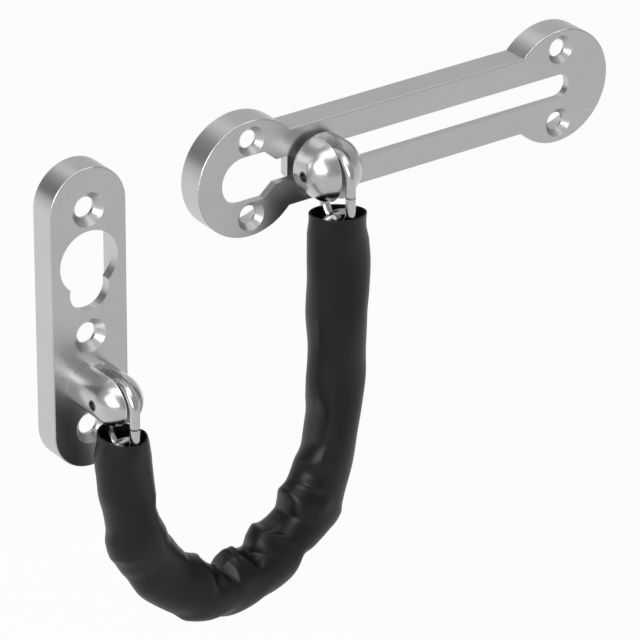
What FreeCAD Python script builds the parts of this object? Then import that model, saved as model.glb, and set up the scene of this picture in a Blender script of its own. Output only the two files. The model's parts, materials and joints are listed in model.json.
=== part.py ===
# Door chain with a slotted door plate, a frame plate and a sleeved chain
# Millimetres. X runs right along the door plate, Y into the wall, Z up. Backs of both plates lie at Y = 0.
# The origin is the middle of the door plate's four screw holes, on its back.
import FreeCAD, Part
import math
import os

V = FreeCAD.Vector
RIGHT, INTO, UP = V(1, 0, 0), V(0, 1, 0), V(0, 0, 1)

# Both plates
PLATE_DEPTH = 7.2
EDGE_ROUND = 0.35

# Door plate
DISC_R = 15.0
DISC_SPACING = 92.6
BAR_HEIGHT = 20.0
DOOR_FACE = 2.0
DOOR_RIM = 1.5
DOOR_SCREW_SPACING = 19.6
DOOR_SCREW_R = 2.3
DOOR_SINK_R = 3.75
SLOT_HEIGHT = 6.4
SLOT_END_INSET = 0.3
KEY_HEIGHT = 12.2
KEY_LEFT = 8.3
KEY_FLAT = 3.8
KEY_TAPER = 3.4

# Frame plate
FRAME_WIDTH = 20.7
FRAME_LENGTH = 77.6
FRAME_TOP = 15.2
FRAME_LEFT_OF_DISC = 45.65
FRAME_FACE = 2.6
FRAME_RIM = 1.7
FRAME_SCREW_R = 2.65
FRAME_SINK_R = 4.35
TOP_SCREW_DROP = 10.6
MIDDLE_SCREW_DROP = 43.1
BOTTOM_SCREW_RISE = 10.4
KEY_BIG_R = 7.95
KEY_BIG_DROP = 23.95
KEY_SMALL_R = 5.4
KEY_SMALL_DROP = 31.2

# Post on the frame plate
POST_R = 6.3
POST_RISE = 22.2
POST_LENGTH = 9.85
POST_DOME = 7.8
POST_SLOT = 3.1
POST_FLOOR = 3.2
POST_TAIL_R = 3.4
POST_PEEN_R = 4.8
POST_PEEN = 1.2
POST_PIN_R = 0.95
POST_PIN_OUT = 9.9
POST_PIN_SINK = 0.6

# Slider
SLIDER_FROM_DISC = 18.5
HEAD_R = 7.9
HEAD_GAP = 1.5
HEAD_LENGTH = 4.75
HEAD_DOME = 7.1
HEAD_BACK_ROUND = 0.9
HEAD_SLOT = 3.3
HEAD_FLOOR = 1.0
NECK_R = 2.95
FOOT_LENGTH = 13.0
FOOT_HEIGHT = 9.2
FOOT_THICK = 2.6
FOOT_CORNER_R = 1.5
FOOT_GAP = 0.2
TAIL_R = 2.0
PEEN_R = 3.0
PEEN = 0.6
SLIDER_PIN_R = 0.95
SLIDER_PIN_OUT = 6.1
SLIDER_PIN_SINK = 0.8

# Chain
LINK_COUNT = 13
WIRE_R = 1.25
LINK_PITCH = 18.1
LINK_WIDTH = 10.6
WIRE_GAP = 0.5
LINK_PLAY = 0.05
SLACK = 3.2
SLACK_AFTER_LINK = 5

# Sleeve
SLEEVE_WALL = 0.6
SLEEVE_PLAY = 0.7
SLEEVE_SQUARENESS = 1.6
SLEEVE_STATIONS = 41
SLEEVE_POINTS = 12
LOW_LIP = 5.0
HIGH_LIP = 2.9
FOLD_DEPTH = 1.5
FOLD_LENGTH = 10.5

# Fits
PIN_FIT = 0.03
RIVET_FIT = 0.03

# Places that follow from the sizes
PLATE_FRONT = -PLATE_DEPTH
LEFT_DISC_X = -DISC_SPACING / 2
RIGHT_DISC_X = DISC_SPACING / 2
SLOT_END_X = RIGHT_DISC_X - SLOT_END_INSET
FRAME_X = LEFT_DISC_X - FRAME_LEFT_OF_DISC
FRAME_LOW = FRAME_TOP - FRAME_LENGTH
POST_Z = FRAME_LOW + POST_RISE
SLIDER_X = LEFT_DISC_X + SLIDER_FROM_DISC
HEAD_BACK = PLATE_FRONT - HEAD_GAP
FOOT_FRONT = PLATE_FRONT + DOOR_FACE + FOOT_GAP
POST_PIN_Y = PLATE_FRONT - POST_PIN_OUT
SLIDER_PIN_Y = PLATE_FRONT - SLIDER_PIN_OUT


def cylinder(radius, start, end, axis, place):
    """A round bar along axis, from start to end measured along it, through the point place."""
    return Part.makeCylinder(radius, end - start, place + axis * start, axis)


def block(x0, x1, y0, y1, z0, z1):
    """A box between two corners."""
    return Part.makeBox(x1 - x0, y1 - y0, z1 - z0, V(x0, y0, z0))


def stadium(x, z_low, z_high, radius, y0, y1):
    """An upright bar with round ends, extruded along Y."""
    body = block(x - radius, x + radius, y0, y1, z_low + radius, z_high - radius)
    for z in (z_low + radius, z_high - radius):
        body = body.fuse(cylinder(radius, y0, y1, INTO, V(x, 0, z)))
    return body.removeSplitter()


def sunk_hole(x, z, bore_r, sink_r):
    """A screw hole with a ninety degree countersink at the plate's front."""
    bore = cylinder(bore_r, PLATE_FRONT - 1, 1, INTO, V(x, 0, z))
    sink = Part.makeCone(sink_r, bore_r, sink_r - bore_r, V(x, PLATE_FRONT, z), INTO)
    return bore.fuse(sink)


def round_front_edges(shape, radius):
    """Softens the outer edges of a plate's front face."""
    edges = [e for e in shape.Edges if e.BoundBox.YMax < PLATE_FRONT + 0.01]
    return shape.makeFillet(radius, edges)


# Door plate

def door_outline(inset, y0, y1):
    """The two discs and the bar between them, drawn in by inset."""
    half = BAR_HEIGHT / 2 - inset
    body = block(LEFT_DISC_X, RIGHT_DISC_X, y0, y1, -half, half)
    for x in (LEFT_DISC_X, RIGHT_DISC_X):
        body = body.fuse(cylinder(DISC_R - inset, y0, y1, INTO, V(x, 0, 0)))
    return body.removeSplitter()


def door_slot():
    """The slot that the slider runs in, with its round end."""
    half = SLOT_HEIGHT / 2
    slot = block(LEFT_DISC_X, SLOT_END_X, PLATE_FRONT - 1, 1, -half, half)
    return slot.fuse(cylinder(half, PLATE_FRONT - 1, 1, INTO, V(SLOT_END_X, 0, 0)))


def door_keyhole():
    """The wide mouth at the slot's left end: a round left side, flat edges and a taper into the slot."""
    half = KEY_HEIGHT / 2
    left = LEFT_DISC_X - KEY_LEFT + half
    flat = LEFT_DISC_X + KEY_FLAT
    tip = flat + KEY_TAPER
    y = PLATE_FRONT - 1
    edges = [
        Part.makeLine(V(left, y, half), V(flat, y, half)),
        Part.makeLine(V(flat, y, half), V(tip, y, SLOT_HEIGHT / 2)),
        Part.makeLine(V(tip, y, SLOT_HEIGHT / 2), V(tip, y, -SLOT_HEIGHT / 2)),
        Part.makeLine(V(tip, y, -SLOT_HEIGHT / 2), V(flat, y, -half)),
        Part.makeLine(V(flat, y, -half), V(left, y, -half)),
        Part.Arc(V(left, y, -half), V(left - half, y, 0), V(left, y, half)).toShape(),
    ]
    return Part.Face(Part.Wire(edges)).extrude(V(0, PLATE_DEPTH + 2, 0))


def door_plate():
    """A hollow plate, open at its back, with the slot, the keyhole and four screw holes."""
    plate = round_front_edges(door_outline(0, PLATE_FRONT, 0), EDGE_ROUND)
    plate = plate.cut(door_outline(DOOR_RIM, PLATE_FRONT + DOOR_FACE, 1))
    plate = plate.cut(door_slot()).cut(door_keyhole())
    for x in (LEFT_DISC_X, RIGHT_DISC_X):
        for z in (-DOOR_SCREW_SPACING / 2, DOOR_SCREW_SPACING / 2):
            plate = plate.cut(sunk_hole(x, z, DOOR_SCREW_R, DOOR_SINK_R))
    return plate


# Frame plate and its post

def frame_keyhole():
    """The parking hole: a big round mouth above a smaller one."""
    big = cylinder(KEY_BIG_R, PLATE_FRONT - 1, 1, INTO, V(FRAME_X, 0, FRAME_TOP - KEY_BIG_DROP))
    small = cylinder(KEY_SMALL_R, PLATE_FRONT - 1, 1, INTO, V(FRAME_X, 0, FRAME_TOP - KEY_SMALL_DROP))
    return big.fuse(small)


def frame_plate():
    """A hollow upright plate with round ends, the keyhole, three screw holes and the post's hole."""
    half = FRAME_WIDTH / 2
    low, top = FRAME_LOW + FRAME_RIM, FRAME_TOP - FRAME_RIM
    plate = stadium(FRAME_X, FRAME_LOW, FRAME_TOP, half, PLATE_FRONT, 0)
    plate = round_front_edges(plate, EDGE_ROUND)
    plate = plate.cut(stadium(FRAME_X, low, top, half - FRAME_RIM, PLATE_FRONT + FRAME_FACE, 1))
    plate = plate.cut(frame_keyhole())
    screws = (FRAME_TOP - TOP_SCREW_DROP, FRAME_TOP - MIDDLE_SCREW_DROP, FRAME_LOW + BOTTOM_SCREW_RISE)
    for z in screws:
        plate = plate.cut(sunk_hole(FRAME_X, z, FRAME_SCREW_R, FRAME_SINK_R))
    post_hole = cylinder(POST_TAIL_R + RIVET_FIT, PLATE_FRONT - 1, 1, INTO, V(FRAME_X, 0, POST_Z))
    return plate.cut(post_hole)


def domed_bar(radius, dome, back, length, place):
    """A round bar that points out of the wall and ends in half an ellipsoid, made by turning its profile."""
    front = back - length
    tall = dome > radius
    centre = place + V(0, front, 0)
    nose, side = centre - INTO * dome, centre + RIGHT * radius
    ellipse = Part.Ellipse(nose, side, centre) if tall else Part.Ellipse(side, nose, centre)
    quarter = [ellipse.parameter(nose), ellipse.parameter(side)]
    if quarter[1] < quarter[0]:
        quarter[1] += 2 * math.pi
    if quarter[1] - quarter[0] > math.pi:
        quarter = [quarter[1], quarter[0] + 2 * math.pi]
    arc = Part.ArcOfEllipse(ellipse, quarter[0], quarter[1]).toShape()
    foot = place + V(0, back, 0)
    edges = [
        Part.makeLine(nose, foot),
        Part.makeLine(foot, foot + RIGHT * radius),
        Part.makeLine(foot + RIGHT * radius, side),
        arc,
    ]
    profile = Part.Face(Part.Wire(Part.__sortEdges__(edges)))
    return profile.revolve(place, INTO, 360)


def clevis_slot(width, floor, place):
    """The upright gap between two ears, open at the front, the top and the bottom."""
    reach = 60
    x, z = place.x, place.z
    return block(x - width / 2, x + width / 2, floor - reach, floor, z - reach, z + reach)


def frame_post():
    """The post with its dome, its clevis slot, its pin hole and the peened tail behind the plate's face."""
    place = V(FRAME_X, 0, POST_Z)
    post = domed_bar(POST_R, POST_DOME, PLATE_FRONT, POST_LENGTH, place)
    post = post.cut(clevis_slot(POST_SLOT, PLATE_FRONT - POST_FLOOR, place))
    inner = PLATE_FRONT + FRAME_FACE
    post = post.fuse(cylinder(POST_TAIL_R, PLATE_FRONT, inner, INTO, place))
    post = post.fuse(cylinder(POST_PEEN_R, inner, inner + POST_PEEN, INTO, place))
    hole = cylinder(POST_PIN_R + PIN_FIT, -POST_R - 1, POST_R + 1, RIGHT, V(FRAME_X, POST_PIN_Y, POST_Z))
    return post.cut(hole).removeSplitter()


def post_pin():
    """The cross pin that holds the chain's first link."""
    half = POST_R - POST_PIN_SINK
    return cylinder(POST_PIN_R, -half, half, RIGHT, V(FRAME_X, POST_PIN_Y, POST_Z))


# Slider

def slider_head():
    """The domed head with its clevis slot and pin hole, its neck, and the peened tail for the foot."""
    place = V(SLIDER_X, 0, 0)
    head = domed_bar(HEAD_R, HEAD_DOME, HEAD_BACK, HEAD_LENGTH, place)
    rim = [e for e in head.Edges if e.BoundBox.YMin > HEAD_BACK - 0.01 and e.Length > 2 * HEAD_R]
    head = head.makeFillet(HEAD_BACK_ROUND, rim)
    head = head.cut(clevis_slot(HEAD_SLOT, HEAD_BACK - HEAD_FLOOR, place))
    foot_back = FOOT_FRONT + FOOT_THICK
    head = head.fuse(cylinder(NECK_R, HEAD_BACK, FOOT_FRONT, INTO, place))
    head = head.fuse(cylinder(TAIL_R, FOOT_FRONT, foot_back, INTO, place))
    head = head.fuse(cylinder(PEEN_R, foot_back, foot_back + PEEN, INTO, place))
    hole = cylinder(SLIDER_PIN_R + PIN_FIT, -HEAD_R - 1, HEAD_R + 1, RIGHT, V(SLIDER_X, SLIDER_PIN_Y, 0))
    return head.cut(hole).removeSplitter()


def slider_foot():
    """The oblong foot behind the slot, which passes the keyhole and not the slot."""
    half_x, half_z = FOOT_LENGTH / 2, FOOT_HEIGHT / 2
    foot_back = FOOT_FRONT + FOOT_THICK
    foot = block(SLIDER_X - half_x, SLIDER_X + half_x, FOOT_FRONT, foot_back, -half_z, half_z)
    corners = [e for e in foot.Edges if abs(e.tangentAt(e.FirstParameter).y) > 0.99]
    foot = foot.makeFillet(FOOT_CORNER_R, corners)
    return foot.cut(cylinder(TAIL_R + RIVET_FIT, FOOT_FRONT - 1, 1, INTO, V(SLIDER_X, 0, 0)))


def slider_pin():
    """The cross pin that holds the chain's last link."""
    half = HEAD_R - SLIDER_PIN_SINK
    return cylinder(SLIDER_PIN_R, -half, half, RIGHT, V(SLIDER_X, SLIDER_PIN_Y, 0))


# Chain

def bow_offset(pin_r):
    """How far a link's back rod stands behind its pin: the wires touch, less the play."""
    return LINK_WIDTH / 2 - WIRE_R - pin_r - LINK_PLAY


def bow_rise(pin_r):
    """How far the bow's centre lies under its pin when the pin lies in the bow's back corner."""
    reach = LINK_WIDTH / 2 - WIRE_R - pin_r - LINK_PLAY / 2
    sideways = bow_offset(pin_r)
    return math.sqrt(max(reach * reach - sideways * sideways, 0))


def link_length(index):
    """The distance between a link's two hinge points. An upright link hinges at its own bows' wires,
    and a link in the chain's plane inside its bows, on the wires of its neighbours."""
    own = index % 2 == 1
    return LINK_PITCH if own else LINK_PITCH - 4 * WIRE_R - 2 * LINK_PLAY


def headings(centre, width):
    """The direction of each link, in radians above level. Links hang straight down at the post and rise
    straight up at the slider, and the error function turns them over in between."""
    turns = [math.erf((i - centre) / width) for i in range(1, LINK_COUNT + 1)]
    turns[0], turns[-1] = -1.0, 1.0
    return [math.pi / 2 * t for t in turns]


def first_apex():
    """The lowest wire point of the first link, in X and Z."""
    return FRAME_X, POST_Z - bow_rise(POST_PIN_R) + LINK_WIDTH / 2 - LINK_PITCH


def last_apex():
    """The lowest wire point of the last link, in X and Z."""
    return SLIDER_X, -bow_rise(SLIDER_PIN_R) + LINK_WIDTH / 2 - LINK_PITCH


def hinge_points(directions):
    """The hinge points of the post's half of the chain and of the slider's half, each from its own end."""
    post_half, slider_half = [first_apex()], [last_apex()]
    for i in range(2, SLACK_AFTER_LINK + 1):
        x, z = post_half[-1]
        step, turn = link_length(i), directions[i - 1]
        post_half.append((x + step * math.cos(turn), z + step * math.sin(turn)))
    for i in range(LINK_COUNT - 1, SLACK_AFTER_LINK, -1):
        x, z = slider_half[-1]
        step, turn = link_length(i), directions[i - 1]
        slider_half.append((x - step * math.cos(turn), z - step * math.sin(turn)))
    return post_half, slider_half


def hang_error(centre, width):
    """How far the two halves miss each other in X and Z, apart from the slack between them."""
    post_half, slider_half = hinge_points(headings(centre, width))
    return (
        slider_half[-1][0] - post_half[-1][0] + SLACK,
        slider_half[-1][1] - post_half[-1][1],
    )


def solve_hang():
    """Finds the bend's place and width for which the two halves meet, by Newton's method."""
    centre, width, step = 0.44 * LINK_COUNT, 0.225 * LINK_COUNT, 1e-5
    for _ in range(40):
        ex, ez = hang_error(centre, width)
        cx, cz = hang_error(centre + step, width)
        wx, wz = hang_error(centre, width + step)
        a, b, c, d = (cx - ex) / step, (wx - ex) / step, (cz - ez) / step, (wz - ez) / step
        det = a * d - b * c
        centre -= (d * ex - b * ez) / det
        width -= (a * ez - c * ex) / det
    return headings(centre, width)


def link_ends(directions):
    """Each link's two hinge points in X and Z, the one nearer the post first."""
    post_half, slider_half = hinge_points(directions)
    x, z = post_half[0]
    ends = {1: ((x, z + LINK_PITCH), (x, z))}
    for i in range(2, SLACK_AFTER_LINK + 1):
        ends[i] = (post_half[i - 2], post_half[i - 1])
    slider_half.reverse()
    for k, i in enumerate(range(SLACK_AFTER_LINK + 1, LINK_COUNT)):
        ends[i] = (slider_half[k], slider_half[k + 1])
    x, z = slider_half[-1]
    ends[LINK_COUNT] = ((x, z), (x, z + LINK_PITCH))
    return ends


def between(a, b, share=0.5):
    """The point that lies the given share of the way from a to b."""
    return a[0] + share * (b[0] - a[0]), a[1] + share * (b[1] - a[1])


def link_depth(index):
    """The Y of a link's middle, which runs evenly from the post's link to the slider's."""
    first = POST_PIN_Y - bow_offset(POST_PIN_R)
    last = SLIDER_PIN_Y - bow_offset(SLIDER_PIN_R)
    return first + (last - first) * (index - 1) / (LINK_COUNT - 1)


def half_bow(side, run):
    """The half ring of wire at a link's right or left end, beyond its straight runs."""
    centre = V(side * run, 0, 0)
    bow = Part.makeTorus(LINK_WIDTH / 2, WIRE_R, centre, UP, -180, 180, 180)
    bow.rotate(centre, UP, -90 * side)
    return bow


def wire_link(length):
    """One link of bent wire, long along X, with its ends butted at the middle of its -Y side."""
    half = LINK_WIDTH / 2
    run = length / 2 - half
    gap = WIRE_GAP / 2
    runs = [
        cylinder(WIRE_R, -run, run, RIGHT, V(0, half, 0)),
        cylinder(WIRE_R, gap, run, RIGHT, V(0, -half, 0)),
        cylinder(WIRE_R, -run, -gap, RIGHT, V(0, -half, 0)),
    ]
    return half_bow(1, run).fuse(runs + [half_bow(-1, run)]).removeSplitter()


def placed_link(index, middle, turn):
    """A link at its place. Odd links stand across the chain's plane and even links lie in it."""
    link = wire_link(LINK_PITCH)
    if index % 2 == 0:
        link.rotate(V(), RIGHT, -90)
    link.rotate(V(), INTO, -math.degrees(turn))
    link.translate(V(middle[0], link_depth(index), middle[1]))
    return link


# Sleeve

def sleeve_line(directions):
    """The smooth line that the sleeve follows from lip to lip: through the links' middles, and halfway
    between the hinge points and the chords that cut the corners there."""
    ends = link_ends(directions)
    low_x, low_z = first_apex()
    high_x, high_z = last_apex()
    points = [V(low_x, link_depth(1), low_z + LOW_LIP), V(low_x, link_depth(1.5), low_z)]
    for i in range(2, LINK_COUNT):
        middle = between(*ends[i])
        points.append(V(middle[0], link_depth(i), middle[1]))
        if i < LINK_COUNT - 1:
            corner = between(ends[i][1], ends[i + 1][0])
            chord = between(middle, between(*ends[i + 1]))
            x, z = between(chord, corner)
            points.append(V(x, link_depth(i + 0.5), z))
    points.append(V(high_x, link_depth(LINK_COUNT - 0.5), high_z))
    points.append(V(high_x, link_depth(LINK_COUNT), high_z + HIGH_LIP))
    line = Part.BSplineCurve()
    line.interpolate(Points=points, InitialTangent=V(0, 0, -1), FinalTangent=V(0, 0, 1))
    return line


def fold(distance, length):
    """The height of the soft folds on the inside of the bend: a wave under a bell over the bend."""
    bend = math.exp(-(((distance / length - 0.46) / 0.17) ** 4))
    return FOLD_DEPTH * bend * (0.5 - 0.5 * math.cos(2 * math.pi * distance / FOLD_LENGTH))


def sleeve_ring(line, share, reach):
    """A closed ring of points square to the line, at a share of the line's length. The ring is pointed
    towards the wires of the links and flatter between them."""
    length = line.length()
    where = line.parameterAtDistance(share * length, line.FirstParameter)
    centre = line.value(where)
    along = V(*line.tangent(where)[0])
    inward = along.cross(INTO).normalize()
    across = inward.cross(along).normalize()
    points = []
    for k in range(SLEEVE_POINTS + 1):
        angle = 2 * math.pi * k / SLEEVE_POINTS
        c, s = math.cos(angle), math.sin(angle)
        power = (abs(c) ** SLEEVE_SQUARENESS + abs(s) ** SLEEVE_SQUARENESS) ** (-1 / SLEEVE_SQUARENESS)
        out = reach * power + fold(share * length, length) * max(c, 0) ** 2
        points.append(centre + inward * (out * c) + across * (out * s))
    return points


def sleeve_skin(line, reach):
    """One spline face along the line, through rings of one reach."""
    skin = Part.BSplineSurface()
    shares = [k / (SLEEVE_STATIONS - 1) for k in range(SLEEVE_STATIONS)]
    skin.interpolate([sleeve_ring(line, share, reach) for share in shares])
    return skin.toShape()


def rim_edges(skin):
    """The two short edges of a skin, at the sleeve's lips, in order of height."""
    rims = [e for e in skin.Edges if e.BoundBox.ZLength < 1]
    return sorted(rims, key=lambda e: e.CenterOfMass.z)


def sleeve(directions):
    """The loose tube over the chain, open at both ends: two skins joined by a lip at each end."""
    line = sleeve_line(directions)
    inner_reach = LINK_WIDTH / 2 + WIRE_R + SLEEVE_PLAY
    skins = [sleeve_skin(line, inner_reach + SLEEVE_WALL), sleeve_skin(line, inner_reach)]
    lips = [Part.makeRuledSurface(a, b) for a, b in zip(rim_edges(skins[0]), rim_edges(skins[1]))]
    shell = Part.Shell(skins + lips)
    shell.sewShape()
    tube = Part.Solid(shell)
    if tube.Volume < 0:
        tube.reverse()
    return tube


def build():
    """Every piece by its name."""
    directions = solve_hang()
    pieces = {
        "frame_plate": frame_plate(),
        "frame_post": frame_post(),
        "post_pin": post_pin(),
        "door_plate": door_plate(),
        "slider_head": slider_head(),
        "slider_foot": slider_foot(),
        "slider_pin": slider_pin(),
        "sleeve": sleeve(directions),
    }
    for i, ends in link_ends(directions).items():
        pieces["link_%02d" % i] = placed_link(i, between(*ends), directions[i - 1])
    return pieces


os.makedirs("parts", exist_ok=True)
for name, shape in build().items():
    shape.exportStep("parts/" + name + ".step")
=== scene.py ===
# %% [markdown]
# # A door chain in a small studio
#
# The object keeps a door from opening fully. A long steel plate sits on the door, with a slot that a
# slider runs in. A short steel plate sits on the frame, with a keyhole that the slider can be parked in
# and a post. A wire chain hangs between the post and the slider, inside a soft black sleeve.
#
# The steel pieces come from the CAD model, because their shape is already exact. This file gives them
# their finish, builds the sleeve, and sets up the camera and the light.

# %% Load the frame
import json
import math

import bpy
import numpy as np
from mathutils import Matrix, Vector


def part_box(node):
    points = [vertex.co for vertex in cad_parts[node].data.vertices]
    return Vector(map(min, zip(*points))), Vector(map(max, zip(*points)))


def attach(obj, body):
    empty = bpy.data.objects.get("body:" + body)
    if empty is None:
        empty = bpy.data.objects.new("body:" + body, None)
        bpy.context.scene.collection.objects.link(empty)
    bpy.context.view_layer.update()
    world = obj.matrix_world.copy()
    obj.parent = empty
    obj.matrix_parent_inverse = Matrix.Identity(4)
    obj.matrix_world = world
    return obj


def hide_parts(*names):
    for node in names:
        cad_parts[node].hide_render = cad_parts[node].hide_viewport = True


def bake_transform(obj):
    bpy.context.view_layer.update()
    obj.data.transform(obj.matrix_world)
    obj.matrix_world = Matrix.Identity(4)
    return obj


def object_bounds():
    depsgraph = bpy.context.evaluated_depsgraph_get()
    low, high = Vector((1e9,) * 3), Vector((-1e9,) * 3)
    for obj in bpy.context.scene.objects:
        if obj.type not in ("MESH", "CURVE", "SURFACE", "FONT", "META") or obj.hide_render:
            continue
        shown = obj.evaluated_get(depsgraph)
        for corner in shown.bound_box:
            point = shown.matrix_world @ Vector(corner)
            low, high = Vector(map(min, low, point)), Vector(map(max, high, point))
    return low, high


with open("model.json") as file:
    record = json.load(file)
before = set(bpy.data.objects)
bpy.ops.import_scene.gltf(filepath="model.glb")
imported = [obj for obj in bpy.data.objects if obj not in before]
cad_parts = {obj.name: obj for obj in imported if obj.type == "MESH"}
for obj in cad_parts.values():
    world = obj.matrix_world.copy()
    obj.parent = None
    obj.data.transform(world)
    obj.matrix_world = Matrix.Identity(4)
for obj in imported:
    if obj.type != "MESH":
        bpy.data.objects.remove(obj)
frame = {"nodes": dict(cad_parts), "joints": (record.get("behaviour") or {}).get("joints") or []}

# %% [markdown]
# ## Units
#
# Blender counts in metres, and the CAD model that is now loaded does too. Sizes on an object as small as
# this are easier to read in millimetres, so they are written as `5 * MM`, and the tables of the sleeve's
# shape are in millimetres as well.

MM = 0.001
nodes = frame["nodes"]
cad_low, cad_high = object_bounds()
cad_size = [round(x / MM, 1) for x in cad_high - cad_low]
print("loaded", len(nodes), "steel and sleeve solids, box in mm:", cad_size)

# %% [markdown]
# ## The camera
#
# The picture is taken with a long lens from the upper left, so that lines on the object stay nearly
# parallel. Two angles and a place say where the camera looks. A small roll finishes it, because the real
# camera wasn't quite level.

# %% Camera
CAMERA_PLACE = (-0.591665, -0.784218, 0.453371)
CAMERA_AZIMUTH = math.radians(-36.06)
CAMERA_ELEVATION = math.radians(27.33)
CAMERA_ROLL = math.radians(0.52)
CAMERA_LENS = 251.35
FILM_WIDTH = 36


def direction(azimuth, elevation):
    """The unit vector that points from the object to an azimuth and elevation. Azimuth 0 lies in front,
    towards -Y: x and y share the cosine of the elevation, and z is its sine."""
    return Vector((
        math.sin(azimuth) * math.cos(elevation),
        -math.cos(azimuth) * math.cos(elevation),
        math.sin(elevation),
    ))


def aim(azimuth, elevation, roll):
    """The camera's right, up and back directions. Back points away from what it looks at, right is level
    before the roll turns it about the view, and up is square to both."""
    back = direction(azimuth, elevation)
    level = Vector((0, 0, 1)).cross(back).normalized()
    above = back.cross(level)
    right = level * math.cos(roll) + above * math.sin(roll)
    return right, back.cross(right), back


def make_camera(axes):
    """A camera at its place, turned so that its own axes are the three directions given."""
    data = bpy.data.cameras.new("camera")
    data.lens = CAMERA_LENS
    data.sensor_width = FILM_WIDTH
    data.clip_start, data.clip_end = 0.01, 20
    camera = bpy.data.objects.new("camera", data)
    bpy.context.scene.collection.objects.link(camera)
    camera.matrix_world = Matrix.Translation(CAMERA_PLACE) @ Matrix(axes).transposed().to_4x4()
    bpy.context.scene.camera = camera


camera_axes = aim(CAMERA_AZIMUTH, CAMERA_ELEVATION, CAMERA_ROLL)
make_camera(camera_axes)
print("camera looks along", [round(x, 3) for x in -camera_axes[2]])

# %% [markdown]
# ## Shader maths as Python
#
# A material is a tree of small nodes. Writing `1 - mask * 0.5` is easier to read than three nodes and
# their links, so a small class wraps a socket and adds the Math nodes that an expression needs. Every
# other node comes from one method, which makes the node's settings first and then fills its sockets.

# %% A value that flows between nodes
class Value:
    """A number that flows between nodes. Expressions on values add Math nodes to the same tree."""

    def __init__(self, bench, socket):
        self.bench, self.socket = bench, socket

    def math(self, operation, *others):
        """One Math node: the operation on this value and the others, in that order."""
        sockets = dict(enumerate((self, *others)))
        return self.bench.add("ShaderNodeMath", {"operation": operation}, sockets)

    def __add__(self, other):
        return self.math("ADD", other)

    def __sub__(self, other):
        return self.math("SUBTRACT", other)

    def __rsub__(self, other):
        return self * -1 + other

    def __mul__(self, other):
        return self.math("MULTIPLY", other)

    def __truediv__(self, other):
        return self.math("DIVIDE", other)

    def __pow__(self, other):
        return self.math("POWER", other)

    __radd__, __rmul__ = __add__, __mul__

    def step(self, low, high):
        """A smooth rise from 0 at low to 1 at high. Low may lie above high, for a fall."""
        lows, highs = (low, high) if low < high else (high, low)
        sockets = {"Value": self, "From Min": lows, "From Max": highs}
        rise = self.bench.add("ShaderNodeMapRange", {"interpolation_type": "SMOOTHSTEP"}, sockets)
        return rise if low < high else 1 - rise


# %% The bench a node tree is built on
MIX_FIRST, MIX_SECOND, MIX_RESULT = 6, 7, 2


class Bench:
    """The node tree of one material, or of the world."""

    def __init__(self, owner):
        owner.use_nodes = True
        self.owner, self.tree = owner, owner.node_tree
        self.tree.nodes.clear()

    def add(self, kind, settings=None, sockets=None, output=0):
        """Adds a node, makes its settings, then fills its sockets with numbers or links from values."""
        node = self.tree.nodes.new(kind)
        for name, setting in (settings or {}).items():
            setattr(node, name, setting)
        for name, item in (sockets or {}).items():
            if isinstance(item, Value):
                self.tree.links.new(item.socket, node.inputs[name])
            else:
                node.inputs[name].default_value = item
        return Value(self, node.outputs[output]) if node.outputs else node

    def split(self, vector):
        """The three parts of a vector."""
        first = self.add("ShaderNodeSeparateXYZ", None, {"Vector": vector})
        return [Value(self, socket) for socket in first.socket.node.outputs]

    def place(self):
        """The three object coordinates of the shaded point, in millimetres."""
        return [part / MM for part in self.split(self.add("ShaderNodeTexCoord", output="Object"))]

    def point(self, x, y, z):
        """A vector made of three values or numbers."""
        return self.add("ShaderNodeCombineXYZ", None, {"X": x, "Y": y, "Z": z})

    def noise(self, vector, scale, detail=2.0, rough=0.5):
        """Soft noise around 0.5, with a number of waves for each unit of the vector."""
        sockets = {"Vector": vector, "Scale": scale, "Detail": detail, "Roughness": rough}
        return self.add("ShaderNodeTexNoise", None, sockets)

    def blend(self, share, first, second):
        """The colour first where share is 0 and second where it is 1."""
        sockets = {"Factor": share, MIX_FIRST: first, MIX_SECOND: second}
        return self.add("ShaderNodeMix", {"data_type": "RGBA"}, sockets, output=MIX_RESULT)

    def finish(self, shader, output="ShaderNodeOutputMaterial"):
        """Ends the tree with the shader on its surface, and hands over what the tree belongs to."""
        self.add(output, None, {"Surface": shader})
        return self.owner


# %% [markdown]
# ## Steel
#
# Each steel piece has fine marks that run the way it was worked: straight on a brushed plate, in rings on
# a turned post, and in every direction on drawn wire. All of them are noise, a value around 0.5, and what
# follows is the same for all: the marks swing the roughness and the tone a little, and a faint bump
# breaks up the reflections. Masks then paint light and shade into the colour: a painted highlight along
# an edge, brighter faces in a slot, and painted shade around the mouth of a pin's hole.

# %% Steel with marks
STEEL = (0.60, 0.60, 0.61)
# The colours that the masks paint in: a bright one, for an edge's painted highlight and a slot's brighter
# faces, and a dark one for painted shade.
PAINTED_BRIGHT = (0.95, 0.95, 0.95, 1)
SHADED = (0.10, 0.10, 0.10, 1)
TONE_CONTRAST = 1.6
PAINTED_BRIGHT_ROUGHENS = 0.2
BUMP_STRENGTH = 0.2


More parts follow.
